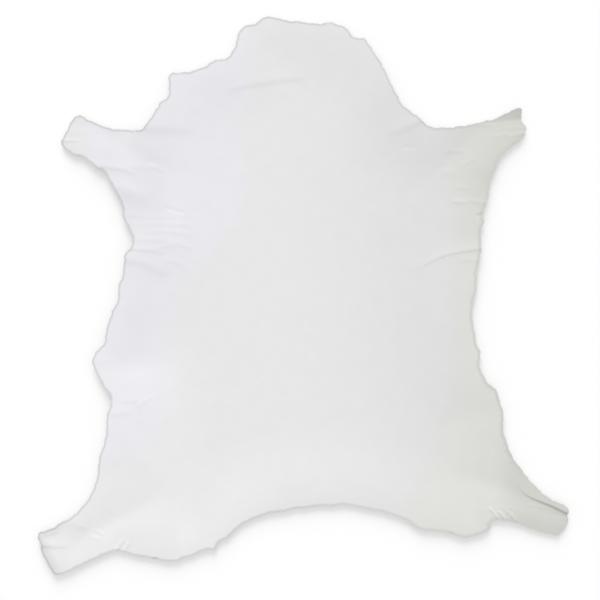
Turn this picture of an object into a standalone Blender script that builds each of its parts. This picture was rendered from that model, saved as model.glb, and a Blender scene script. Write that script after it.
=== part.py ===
"""Leather hide: one whole skin with its shanks, laid out flat with the grain side up.

The neck points along +Y, the hind end along -Y, and the hide rests on the plane z = 0.
Its edge is drawn on a grid: `across` runs to the right and `down` runs from the neck to the
hind end, and one grid unit is UNIT metres on the hide. Sizes across the sheet, such as
thickness and the height of a fold, are in metres.
"""
import math
from collections import namedtuple

import bmesh
import bpy
import numpy as np
from mathutils import Vector
from mathutils.geometry import delaunay_2d_cdt

# ---------------------------------------------------------------- driving sizes
HIDE_LENGTH = 1.06           # from the neck's end to the tip of the left hind shank
DRAWN_LENGTH = 556.5         # the same length on the drawing's grid
UNIT = HIDE_LENGTH / DRAWN_LENGTH
GRID_MIDDLE = (303.3, 295.5)  # (across, down) of the middle of the hide's outer box
THICKNESS = 0.0014

EDGE_REACH = 0.080           # how far in from the edge the sheet comes down to the surface
EDGE_POWER = 8               # how little a farther stretch of edge adds to the nearest one
SETTLE = 0.0002              # rises lower than this lie flat on the surface
CREASE_FADE = 0.25           # share of its length over which a crease ends inside the sheet

EDGE_STEP = 0.0085           # longest chord along the edge
SHEET_STEP = 0.028           # spacing of the mesh where the sheet lies flat
FOLD_STEP = 0.014            # spacing beside a fold and along the lifted edge
FOLD_REACH = 0.032           # how far from them the finer spacing goes
CLEARANCE = 0.45             # share of the spacing kept free round a point
CREASE_FLANK = 1.3           # slope widths from a crease's crest to its outer rows of points
CURL_ROWS = (0.0, 0.3, 0.6)  # shares of the curl's width that have a row of points

LEATHER_COLOUR = (0.78, 0.78, 0.79, 1.0)
LEATHER_ROUGHNESS = 0.62

# ---------------------------------------------------------------- the edge
# One row for each stretch of the edge, clockwise from the left of the neck: name of the
# stretch, how high its middle lifts off the surface, and its points as (across, down).
EDGE_STRETCHES = (
    ("neck, left side", 0.0050, (
        (169.2, 78), (171.6, 74.4), (176, 73.6), (184, 73.4), (191, 72.4), (198, 70), (206.5, 66.7),
        (211.2, 63.3), (216, 60.4), (226, 59.6), (229.5, 56.5), (234.6, 48.8), (236.8, 41),
        (239.9, 31.2))),
    ("neck, end", 0.0032, (
        (244.5, 27.4), (249, 25.3), (254.5, 25), (259.5, 21.5), (264.5, 17.6), (269, 17.5),
        (280, 19.3), (288, 21.6), (297, 21.7), (304, 22.9), (312, 24.1), (323, 24.4), (328, 23),
        (332, 23.1), (336, 25), (342.4, 27.2), (346.5, 29))),
    ("neck, right side", 0.0080, (
        (352, 37.2), (357, 38.9), (364.3, 39.6), (368.5, 45), (373.5, 53), (380, 62.5),
        (385.6, 73.5), (393.6, 90.5), (397.3, 96.5), (400, 103), (406, 109), (417.3, 117.2))),
    ("right shoulder", 0.0048, (
        (422, 121.3), (427, 125.7), (433, 128.1), (440, 128.1), (451, 128.1), (457, 126.9),
        (466, 126))),
    ("right fore shank, top", 0.0022, (
        (475, 124), (484, 121.8), (495, 119.2), (505, 114), (511.3, 111.5), (515.3, 109.3), (518.5, 108.2))),
    ("right fore shank, end", 0.0026, (
        (520.7, 110.2), (520.5, 120), (522.7, 124.5), (525.7, 129.5), (523, 136), (517.5, 142.5))),
    ("right elbow", 0.0092, (
        (509.5, 147.5), (505, 151.5), (499.5, 157.5), (496.3, 163.5), (494.5, 169.5),
        (491.2, 175.5), (489, 181.5), (488, 193), (485, 205))),
    ("right flank, upper", 0.0104, (
        (481, 216), (483, 221), (480, 230), (479.7, 238), (480.4, 247), (478.5, 260),
        (476, 272), (475.3, 290), (472.2, 302), (471, 314))),
    ("right flank, lower", 0.0104, (
        (472, 323), (474.5, 336), (475.5, 344), (479.5, 352.5), (478.3, 365), (482.3, 375),
        (487, 382.7), (495.5, 390), (498.5, 400), (501.8, 410), (502.5, 418), (502.2, 430))),
    ("right hind shank, top", 0.0054, (
        (505.3, 440), (510, 453), (516.5, 464), (519.8, 467.3), (525.5, 476), (532, 483),
        (544.5, 495), (554, 500.6), (563.5, 504.7), (567.5, 508.5))),
    ("right hind shank, end", 0.0045, (
        (566.6, 514), (567, 522.5), (561.5, 530.5), (558.5, 534), (554.5, 534.7))),
    ("right hind shank, underneath", 0.0074, (
        (547, 533), (532, 528.6), (517, 522.7), (503, 519.5), (497, 518.8), (490.5, 521.2))),
    ("rump, right", 0.0077, (
        (489, 524.5), (488.6, 528.8), (482, 532.3), (472, 535.6), (462, 536.8), (453, 533.5),
        (443, 531), (426, 529.6), (418, 527.7), (408, 520.3), (400, 516.6))),
    ("rump, middle", 0.0072, (
        (391.5, 513.9), (383, 511), (369, 508.3), (353, 505), (343, 503.7), (333, 505),
        (317, 505.1), (307, 506.7), (294, 507.8), (285, 510.3), (271, 512), (258, 516.2))),
    ("tail notch", 0.0072, (
        (246.4, 521.2), (235.5, 528.6), (229.5, 535.2), (217.6, 542.5), (216, 546.3), (214.4, 549.7),
        (207.5, 548.2))),
    ("rump, left", 0.0076, (
        (200, 551.2), (192, 554.7), (184, 556.9), (176.5, 560.1), (165.5, 560.1), (156, 558),
        (140, 555.2), (132, 553.7), (123, 550.7), (116, 549.8))),
    ("left hind shank, underneath", 0.0070, (
        (108, 552.2), (95, 558), (80, 565), (66, 571.8), (57.5, 573.7))),
    ("left hind shank, end", 0.0096, (
        (53.7, 571.5), (48.7, 562), (43.7, 553), (41.5, 543), (39, 535.3))),
    ("left hind shank, top", 0.0072, (
        (40.3, 531.7), (47, 530), (56, 526), (63, 521.2), (72, 516.9), (83.7, 505.3),
        (89.7, 497.5))),
    ("left flank, lower", 0.0104, (
        (94.3, 488), (98, 477), (100.3, 457), (105, 443), (107.4, 430), (107.6, 417),
        (111.2, 404.8), (111.2, 394.5))),
    ("left flank, lobe", 0.0112, (
        (106.5, 389), (99.5, 376.5), (93.6, 362.5), (95.8, 353.7), (105, 343.3), (107.3, 330))),
    ("left flank, upper", 0.0106, (
        (110.5, 319.5), (113.8, 310), (118.8, 300.5), (119.4, 286.5), (123.3, 276.5),
        (126.5, 253.5))),
    ("left waist", 0.0112, (
        (131.8, 248.2), (133.8, 240), (131.2, 231.5), (124, 217.5), (123.3, 206.5))),
    ("left elbow", 0.0094, (
        (119.5, 198), (113, 186), (103.5, 170.7), (99.5, 170))),
    ("left fore shank, underneath", 0.0072, (
        (89.7, 161.7), (82, 156.8), (76, 155.9), (66, 149.6))),
    ("left fore shank, end", 0.0040, (
        (61.8, 143.5), (66, 134.5), (74, 119))),
    ("left fore shank, top", 0.0044, (
        (79.5, 115.7), (88, 120), (99, 124.8), (111, 129.2), (126, 130.3), (141, 130.4))),
    ("left shoulder", 0.0085, (
        (146, 126), (152.5, 117), (158.5, 107.5), (160.5, 103.4), (167.5, 99), (169.7, 92))),
)

# ---------------------------------------------------------------- the folds
# Soft creases that stand up from the sheet: name, width of the slope on the left and on the
# right of the crest, height at the first and at the last point, then the crest's line as
# (across, down) points.
CREASES = (
    ("right flank", 0.0022, 0.0090, 0.0007, 0.0005, (
        (486, 248.8), (478, 249.3), (460, 251.8), (450, 253.8), (440, 257.2), (430, 261.8),
        (412, 273))),
    ("left waist", 0.0160, 0.0085, 0.0009, 0.0006, (
        (122, 257), (140, 261.5), (154, 267), (174.5, 276.5))),
    ("left waist, small", 0.0080, 0.0036, 0.0005, 0.0004, (
        (130, 249), (146, 249.8), (167, 252))),
    ("left shoulder", 0.0300, 0.0110, 0.0014, 0.0007, (
        (142, 126), (158, 127), (176, 127.5), (198, 129.5))),
    ("left armpit", 0.0080, 0.0040, 0.0006, 0.0005, (
        (92, 166), (112, 167.8), (122, 169.3), (139.5, 175))),
    ("left elbow", 0.0130, 0.0160, 0.0013, 0.0008, (
        (110, 186), (126, 189.5), (151.5, 201.5))),
    ("right shoulder", 0.0060, 0.0110, 0.0008, 0.0004, (
        (423, 119.5), (412, 124), (400, 129.5), (385.5, 134.5))),
    ("right elbow", 0.0160, 0.0400, 0.0018, 0.0009, (
        (527, 129.5), (508, 143), (498, 153), (489, 166), (481.5, 183.5))),
    ("neck", 0.0200, 0.0055, 0.0006, 0.0007, (
        (218, 90.5), (236, 87.6), (252, 84.2), (272, 80.8), (290, 78.8), (315, 75))),
    ("right hind root, first", 0.0026, 0.0020, 0.0008, 0.0008, (
        (487.5, 506.5), (494, 513.5), (499, 520.5))),
    ("right hind root, second", 0.0026, 0.0020, 0.0008, 0.0008, (
        (495.5, 509), (501, 514.5), (506, 520.5))),
    ("right hind root, third", 0.0026, 0.0020, 0.0008, 0.0008, (
        (503, 507.5), (509.5, 513.5), (517, 522))),
    ("right hind shank", 0.0200, 0.0140, 0.0005, 0.0011, (
        (506, 509.5), (530, 515.5), (546, 520.5), (566, 526))),
    ("left hind root", 0.0030, 0.0030, 0.0008, 0.0006, (
        (115, 551), (118, 547), (126, 536.5))),
    ("left hind shank, inner", 0.0160, 0.0100, 0.0006, 0.0004, (
        (63, 519), (74, 522), (91.5, 526.5))),
    ("left hind shank, outer", 0.0120, 0.0040, 0.0013, 0.0001, (
        (39, 544), (50, 544.6), (62, 545), (76, 544.8))),
)

# The top edge of the right fore shank curls up beyond this bend line.
CURL_LINE = ((462, 127.5), (480, 124.6), (492, 122.4), (503, 121.3), (513, 120.2), (524, 118.6))
CURL_GROWTH = 1.20           # shares of the bend line it takes to grow: it still grows at the tip
CURL_WIDTH = 0.021           # from the bend line to the edge at the shank's tip
CURL_HEIGHT = 0.0068         # height of the edge there
CURL_POWER = 0.95            # 1 is a straight slope, more is a rounder one
CURL_END = 1.5               # curl widths from the bend line at which the slope levels off

# The upper strip of the right hind shank stands up in a tuck and leans over the lower part.
# Its crest runs from the thigh out to the tip.
TUCK_CREST = ((511, 474), (515, 481.5), (520, 489.5), (528, 495.8), (540, 500.9), (552, 505.4),
              (562, 510.2), (575, 516.2))
TUCK_TIP = 0.88              # share of the crest's line that lies inside the edge
TUCK_PATH = 0.0060           # length of leather in the tuck's wall at the tip
TUCK_THIN = 0.55             # share of that length where the tuck begins
TUCK_TURN = math.radians(95)   # how far the wall turns past level
TUCK_FULL = 0.90             # share of the crest's line over which the turn grows
TUCK_LEAST_TURN = 1e-3       # turn at the crest's start, so that the wall has a radius there
TUCK_STRAIGHT = 0.04         # share of the wall between its two turns
TUCK_FALL = 0.055            # how far behind the crest the strip comes down
TUCK_DRAW = 0.040            # how far below the crest the sheet is drawn up into the tuck
TUCK_END_DIRECTION = (0.0, 1.0)  # the sheet is drawn along the shank's end at the tip
TUCK_END_START = 0.42        # share of the crest's line where that direction begins to count
TUCK_ROWS = 10               # mesh rows across the wall
TUCK_COLUMN = 0.008          # mesh spacing along the crest
TUCK_EDGE_STEP = 0.0014      # spacing along the edge where the tuck meets it
SAME_POINT = 1e-7            # points nearer than this are one point


# ---------------------------------------------------------------- lines
# The drawing's lines in metres: the closed edge, with the share of its length at which each
# stretch has its middle and the lift there, the creases, the curl's bend and the tuck's crest.
Drawing = namedtuple("Drawing", "edge middles lifts creases bend crest")
# A crease: its crest's line, the widths of its slopes, its heights at the ends of the line,
# and whether each end lies inside the sheet.
Crease = namedtuple("Crease", "line left right start end ends_inside")


def place(points):
    """Grid points as (x, y) in metres, with the middle of the hide at the origin."""
    grid = np.array(points, dtype=float)
    across = (grid[:, 0] - GRID_MIDDLE[0]) * UNIT
    up = (GRID_MIDDLE[1] - grid[:, 1]) * UNIT
    return np.stack([across, up], axis=1)


def smooth_curve(points, step, closed=False):
    """A smooth curve through the points, sampled about every `step` metres."""
    if closed:
        padded = np.vstack([points[-1:], points, points[:2]])
    else:
        padded = np.vstack([2 * points[0] - points[1], points, 2 * points[-1] - points[-2]])
    samples = []
    for before, start, end, after in zip(padded, padded[1:], padded[2:], padded[3:]):
        knots = [0.0]
        for near, far in ((before, start), (start, end), (end, after)):
            knots.append(knots[-1] + math.sqrt(np.linalg.norm(far - near)))
        t0, t1, t2, t3 = knots
        pieces = max(1, round(np.linalg.norm(end - start) / step))
        for t in np.linspace(t1, t2, pieces, endpoint=False):
            a1 = before + (start - before) * (t - t0) / (t1 - t0)
            a2 = start + (end - start) * (t - t1) / (t2 - t1)
            a3 = end + (after - end) * (t - t2) / (t3 - t2)
            b1 = a1 + (a2 - a1) * (t - t0) / (t2 - t0)
            b2 = a2 + (a3 - a2) * (t - t1) / (t3 - t1)
            samples.append(b1 + (b2 - b1) * (t - t1) / (t2 - t1))
    samples.append(samples[0] if closed else points[-1])
    return np.array(samples)


def passed_lengths(line):
    """The length of the line up to each of its points."""
    return np.concatenate([[0.0], np.cumsum(np.linalg.norm(np.diff(line, axis=0), axis=1))])


def across_line(points, line):
    """For each point: share of the line's length passed, and signed distance to its left."""
    steps = np.diff(line, axis=0)
    passed = passed_lengths(line)
    share = np.zeros(len(points))
    offset = np.full(len(points), np.inf)
    for number, step in enumerate(steps):
        reach = points - line[number]
        along = np.clip(reach @ step / (step @ step), 0.0, 1.0)
        gap = reach - along[:, None] * step
        distance = np.linalg.norm(gap, axis=1)
        side = np.where(step[0] * gap[:, 1] - step[1] * gap[:, 0] < 0, -1.0, 1.0)
        nearer = distance < np.abs(offset)
        walked = passed[number] + along * (passed[number + 1] - passed[number])
        share[nearer] = walked[nearer] / passed[-1]
        offset[nearer] = (side * distance)[nearer]
    return share, offset


def beside_line(line):
    """The direction to the left of the line at each of its points."""
    steps = np.gradient(line, axis=0)
    left = np.stack([-steps[:, 1], steps[:, 0]], axis=1)
    return left / np.linalg.norm(left, axis=1)[:, None]


def inside(points, edge):
    """True for each point that lies inside the closed edge."""
    result = np.zeros(len(points), dtype=bool)
    for start, end in zip(edge, edge[1:]):
        crosses = (start[1] > points[:, 1]) != (end[1] > points[:, 1])
        slope = (end[0] - start[0]) / (end[1] - start[1]) if end[1] != start[1] else 0.0
        result ^= crosses & (points[:, 0] < start[0] + (points[:, 1] - start[1]) * slope)
    return result


def draw():
    """Every line of the drawing, worked out once."""
    points = place([point for _name, _lift, stretch in EDGE_STRETCHES for point in stretch])
    edge = smooth_curve(points, EDGE_STEP / 4, closed=True)
    passed = passed_lengths(np.vstack([points, points[:1]]))
    middles = []
    first = 0
    for _name, _lift, stretch in EDGE_STRETCHES:
        middles.append(passed[first + len(stretch) // 2] / passed[-1])
        first += len(stretch)
    creases = []
    for _name, left, right, start, end, crest in CREASES:
        line = smooth_curve(place(crest), EDGE_STEP / 2)
        ends_inside = inside(line[[0, -1]], edge)
        creases.append(Crease(line, left, right, start, end, ends_inside))
    return Drawing(
        edge=edge,
        middles=middles,
        lifts=[lift for _name, lift, _stretch in EDGE_STRETCHES],
        creases=creases,
        bend=smooth_curve(place(CURL_LINE), EDGE_STEP / 2),
        crest=smooth_curve(place(TUCK_CREST), TUCK_COLUMN / 2))


def ease(share):
    """A smooth step from 0 to 1."""
    share = np.clip(share, 0.0, 1.0)
    return share * share * (3.0 - 2.0 * share)


# ---------------------------------------------------------------- how the sheet lies
def edge_rise(points, drawing):
    """Height the sheet has from its lifted edge, with no step between two edges that are near."""
    passed = passed_lengths(drawing.edge)
    lifts = np.interp(passed / passed[-1], drawing.middles, drawing.lifts, period=1.0)
    total = np.zeros(len(points))
    for place_on_edge, length, lift in zip(drawing.edge, np.diff(passed), lifts):
        gap = points - place_on_edge
        square = np.sum(gap * gap, axis=1) / EDGE_REACH ** 2
        total += length * lift ** EDGE_POWER * np.exp(-EDGE_POWER * square)
    straight_edge = EDGE_REACH * math.sqrt(math.pi / EDGE_POWER)
    return (total / straight_edge) ** (1.0 / EDGE_POWER)


def crease_height(share, crease):
    """Height along a crease's crest, which dies away where the crease ends inside the sheet."""
    height = crease.start + (crease.end - crease.start) * share
    for inside_sheet, passed in zip(crease.ends_inside, (share, 1.0 - share)):
        if inside_sheet:
            height = height * ease(passed / CREASE_FADE)
    return height


def rise_height(points, drawing):
    """Height of the sheet's underside from its lifted edge, its creases and its curl."""
    height = edge_rise(points, drawing)
    for crease in drawing.creases:
        share, offset = across_line(points, crease.line)
        slope = offset / np.where(offset > 0, crease.left, crease.right)
        height += crease_height(share, crease) * np.exp(-slope ** 2)
    share, beyond = across_line(points, drawing.bend)
    slope = np.clip(beyond / CURL_WIDTH, 0.0, CURL_END)
    height += CURL_HEIGHT * slope ** CURL_POWER * ease(share / CURL_GROWTH)
    return np.maximum(height - SETTLE, 0.0)


def tuck_wall(share):
    """The tuck's wall along its crest: its turn, path, turns' radius, start and end offset."""
    turn = np.maximum(TUCK_TURN * ease(share / TUCK_FULL), TUCK_LEAST_TURN)
    grown = np.clip(share / TUCK_TIP, 0.0, 1.0)
    path = TUCK_PATH * (TUCK_THIN + (1.0 - TUCK_THIN) * grown)
    radius = path * (1.0 - TUCK_STRAIGHT) / (2.0 * turn)
    end = radius * np.sin(np.minimum(turn, math.pi / 2))
    return turn, path, radius, end - path, end


def wall_section(walked, turn, path, radius):
    """Sideways travel and height after walking up the wall: a turn, a straight, a turn back."""
    bend = turn * radius
    first = np.clip(walked, 0.0, bend) / radius
    straight = np.clip(walked - bend, 0.0, TUCK_STRAIGHT * path)
    second = turn - np.clip(walked - path + bend, 0.0, bend) / radius
    travel = radius * np.sin(first) + straight * np.cos(turn)
    travel = travel + radius * (np.sin(turn) - np.sin(second))
    height = radius * (1.0 - np.cos(first)) + straight * np.sin(turn)
    height = height + radius * (np.cos(second) - np.cos(turn))
    return travel, height


def fold_tuck(points, crest):
    """Fold the flat plan along the tuck: the new plan, and the height that the tuck adds."""
    share, offset = across_line(points, crest)
    turn, path, radius, wall_start, wall_end = tuck_wall(share)
    full_travel, full_height = wall_section(path, turn, path, radius)

    travel, height = wall_section(offset - wall_start, turn, path, radius)
    moved = travel - full_travel + wall_end
    drawn = 1.0 - ease((wall_start - offset) / TUCK_DRAW)
    moved = np.where(offset < wall_start, offset + (path - full_travel) * drawn, moved)
    fallen = np.exp(-(np.maximum(offset - wall_end, 0.0) / TUCK_FALL) ** 2)
    moved = np.where(offset > wall_end, offset, moved)
    height = np.where(offset > wall_end, full_height * fallen, height)

    folded = share > 0.0
    sideways = np.where(folded, moved - offset, 0.0)
    marks = passed_lengths(crest) / passed_lengths(crest)[-1]
    left = beside_line(crest)
    side = np.stack([np.interp(share, marks, left[:, axis]) for axis in (0, 1)], axis=1)
    along_end = ease((share - TUCK_END_START) / (TUCK_TIP - TUCK_END_START))[:, None]
    side = side + (np.array(TUCK_END_DIRECTION) - side) * along_end
    return points + side * sideways[:, None], np.where(folded, height, 0.0)


def lay(points, drawing):
    """Where each point of the flat plan lies: x, y and z of the sheet's underside."""
    height = rise_height(points, drawing)
    plan, tucked = fold_tuck(points, drawing.crest)
    return np.column_stack([plan, height + tucked])


# ---------------------------------------------------------------- the mesh
def in_tuck(points, crest, margin):
    """True for each point on the tuck's wall or within `margin` of it."""
    share, offset = across_line(points, crest)
    _turn, _path, _radius, start, end = tuck_wall(share)
    return (offset > start - margin) & (offset < end + margin) & (share > 0.0)


def near_folds(points, drawing):
    """True for each point where the sheet is bent, so that it needs the finer spacing."""
    bent = np.abs(across_line(points, drawing.edge)[1]) < FOLD_REACH
    for crease in drawing.creases:
        offset = across_line(points, crease.line)[1]
        bent |= np.abs(offset) < FOLD_STEP + max(crease.left, crease.right)
    return bent | (np.abs(across_line(points, drawing.crest)[1]) < FOLD_REACH)


def lattice(edge, step):
    """Points in staggered rows, `step` apart, over the box of the edge."""
    low = edge.min(axis=0)
    high = edge.max(axis=0)
    rows = []
    for number, y in enumerate(np.arange(low[1], high[1], step * math.sqrt(3.0) / 2.0)):
        xs = np.arange(low[0] + step / 2 * (number % 2), high[0], step)
        rows.append(np.column_stack([xs, np.full(len(xs), y)]))
    return np.vstack(rows)


def crease_rows(drawing):
    """Points on the crest and on both flanks of each crease, and along the curl's bend."""
    rows = []
    for crease in drawing.creases:
        skip = max(1, round(min(crease.left, crease.right) / (EDGE_STEP / 2)))
        beside = beside_line(crease.line)
        for flank in (-CREASE_FLANK * crease.right, 0.0, CREASE_FLANK * crease.left):
            rows.append((crease.line + beside * flank)[::skip])
    bend_left = beside_line(drawing.bend)
    for share in CURL_ROWS:
        rows.append((drawing.bend + bend_left * share * CURL_WIDTH)[::2])
    return np.vstack(rows)


def tuck_rows(crest):
    """Rows of points across the tuck's wall, and one on either side of it."""
    marks = passed_lengths(crest) / passed_lengths(crest)[-1]
    _turn, path, _radius, start, _end = tuck_wall(marks)
    left = beside_line(crest)
    rows = []
    for row in range(-1, TUCK_ROWS + 2):
        offset = start + path * row / TUCK_ROWS
        rows.append((crest + left * offset[:, None])[1::2])
    return np.vstack(rows)


def edge_chords(drawing):
    """The edge as chords, which are short where the tuck meets it."""
    points = place([point for _name, _lift, stretch in EDGE_STRETCHES for point in stretch])
    fine = smooth_curve(points, TUCK_EDGE_STEP / 4, closed=True)[:-1]
    tucked = in_tuck(fine, drawing.crest, 2 * TUCK_EDGE_STEP)
    wanted = np.where(tucked, TUCK_EDGE_STEP, EDGE_STEP)
    gaps = np.linalg.norm(np.diff(fine, axis=0), axis=1)
    kept = [fine[0]]
    walked = 0.0
    for point, gap, step in zip(fine[1:], gaps, wanted[1:]):
        walked += gap
        if walked >= step:
            kept.append(point)
            walked = 0.0
    if walked < EDGE_STEP / 2:
        kept.pop()
    return np.array(kept)


def clear_of(points, others, gap):
    """The points that lie at least `gap` from all the others."""
    nearest = np.full(len(points), np.inf)
    for other in others:
        nearest = np.minimum(nearest, np.linalg.norm(points - other, axis=1))
    return points[nearest >= gap]


def thin_out(points, gap):
    """Drop each point that lies nearer than `gap` to one kept before it."""
    kept = points[:1]
    for point in points[1:]:
        if np.linalg.norm(kept - point, axis=1).min() >= gap:
            kept = np.vstack([kept, point])
    return kept


def sheet_points(chords, drawing):
    """Points inside the edge: sparse where the sheet lies flat, finer beside its folds."""
    wall = tuck_rows(drawing.crest)
    wall = clear_of(wall[inside(wall, drawing.edge)], chords, TUCK_EDGE_STEP)
    creases = crease_rows(drawing)
    creases = creases[inside(creases, drawing.edge)]
    creases = creases[~in_tuck(creases, drawing.crest, FOLD_STEP / 2)]
    creases = thin_out(clear_of(creases, chords, FOLD_STEP / 3), FOLD_STEP / 4)
    sets = [wall, creases]
    for step, beside_fold in ((FOLD_STEP, True), (SHEET_STEP, False)):
        points = lattice(drawing.edge, step)
        points = points[near_folds(points, drawing) == beside_fold]
        points = points[inside(points, drawing.edge)]
        points = points[~in_tuck(points, drawing.crest, step * CLEARANCE)]
        taken = np.vstack([chords] + sets[1:])
        sets.append(clear_of(points, taken, step * CLEARANCE))
    return np.vstack(sets)


def build_sheet():
    """The laid sheet as one open surface, its underside, with the grain side facing up."""
    drawing = draw()
    chords = edge_chords(drawing)
    points = np.vstack([chords, sheet_points(chords, drawing)])
    ring = [(number, (number + 1) % len(chords)) for number in range(len(chords))]
    flat = delaunay_2d_cdt([Vector(point) for point in points], ring, [], 1, SAME_POINT)
    laid = lay(np.array(flat[0]), drawing)

    sheet = bmesh.new()
    corners = [sheet.verts.new(point) for point in laid]
    for face in flat[2]:
        sheet.faces.new([corners[corner] for corner in face])
    for rim in sheet.edges:
        rim.smooth = not rim.is_boundary
    mesh = bpy.data.meshes.new("leather_hide")
    sheet.to_mesh(mesh)
    sheet.free()
    return mesh


def leather_material():
    """Pale crust leather with a dull finish."""
    material = bpy.data.materials.new("leather_grain")
    material.use_nodes = True
    surface = material.node_tree.nodes["Principled BSDF"]
    surface.inputs["Base Color"].default_value = LEATHER_COLOUR
    surface.inputs["Roughness"].default_value = LEATHER_ROUGHNESS
    surface.inputs["Metallic"].default_value = 0.0
    return material


def build_hide():
    """The hide as one closed solid: the laid sheet, thickened upwards."""
    mesh = build_sheet()
    mesh.materials.append(leather_material())
    hide = bpy.data.objects.new("leather_hide", mesh)
    bpy.context.scene.collection.objects.link(hide)
    thickness = hide.modifiers.new("thickness", "SOLIDIFY")
    thickness.thickness = THICKNESS
    thickness.offset = 1.0
    thickness.use_even_offset = True
    return hide


def main():
    """Clear the scene and build the hide."""
    for old in list(bpy.data.objects):
        bpy.data.objects.remove(old, do_unlink=True)
    build_hide()


main()
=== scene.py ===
"""Leather hide add-on: one whole undyed skin, laid out flat with the grain side up.

The neck points along +Y, the hind end along -Y, and the hide rests on the plane z = 0.
Its edge and folds are drawn on a grid: `across` runs to the right and `down` runs from the
neck to the hind end. Heights and widths of folds are in metres.
"""

import math
from collections import namedtuple

import bmesh
import bpy
import numpy as np
from bpy.props import FloatProperty, FloatVectorProperty, PointerProperty
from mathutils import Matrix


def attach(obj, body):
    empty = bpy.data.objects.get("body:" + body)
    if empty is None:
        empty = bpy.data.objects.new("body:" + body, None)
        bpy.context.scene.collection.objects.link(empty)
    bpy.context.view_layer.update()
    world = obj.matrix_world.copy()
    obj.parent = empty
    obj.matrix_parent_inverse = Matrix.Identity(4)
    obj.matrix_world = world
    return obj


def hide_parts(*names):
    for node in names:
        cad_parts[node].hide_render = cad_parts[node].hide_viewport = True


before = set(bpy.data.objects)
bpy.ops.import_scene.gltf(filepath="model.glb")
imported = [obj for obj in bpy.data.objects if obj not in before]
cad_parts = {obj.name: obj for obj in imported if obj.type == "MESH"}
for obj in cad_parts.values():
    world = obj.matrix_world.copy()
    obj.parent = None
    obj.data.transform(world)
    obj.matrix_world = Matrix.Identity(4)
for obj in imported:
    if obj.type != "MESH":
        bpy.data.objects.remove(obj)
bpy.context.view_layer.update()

bl_info = {
    "name": "Leather hide",
    "version": (1, 0, 0),
    "blender": (4, 5, 0),
    "location": "3D View > Sidebar > Hide",
    "description": "Lays out a whole leather hide with its folds, and a plain stage under it",
    "category": "Add Mesh",
}

# ---------------------------------------------------------------- the drawing's grid
DRAWN_LENGTH = 556.5         # the hide's length on the grid, neck's end to hind shank's tip
GRID_MIDDLE = (303.3, 295.5)  # (across, down) of the middle of the hide's outer box

# ---------------------------------------------------------------- how the sheet is meshed
EDGE_STEP = 0.0025           # distance between points along the edge
SHEET_STEP = 0.0064          # squares where the sheet lies flat
SNAP = 1e-6                  # a plane this near to a point passes through it
WELD = 0.0007                # points nearer than this to one on the edge are joined to it
EDGE_BAND = 0.013            # width of the band of half-size squares inside the edge
FOLD_BAND = 2.4              # slope widths beside a fold's crest that have smaller squares
WIDEST_FOLD = 0.030          # folds wider than this need no smaller squares
FINE_FOLD = 0.0046           # folds no wider than this have quarter-size squares
TUCK_BANDS = (0.014, 0.0105, 0.007)  # half, quarter and eighth squares beside the tuck's wall
AXES = ((1, 0, 0), (0, 1, 0))  # across the hide and along it

# ---------------------------------------------------------------- how the edge lies
EDGE_REACH = 0.080           # how far in from the edge the sheet comes down to the surface
EDGE_POWER = 8               # how little a farther stretch of edge adds to the nearest one
SETTLE = 0.0002              # rises lower than this lie flat on the surface
CREASE_FADE = 0.25           # share of its length over which a crease ends inside the sheet
CREASE_REACH = 3.0           # a crease has died away at this many slope widths from its crest
# Ripples of the edge's lift, then waves of its cut: waves all round, start, size.
RIPPLES = ((61, 0.9, 0.00035), (97, 2.3, 0.00025), (149, 4.1, 0.00018))
EDGE_WAVES = ((151, 0.4, 0.00040), (229, 2.9, 0.00040), (337, 1.3, 0.00030), (463, 5.0, 0.00022))

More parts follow.
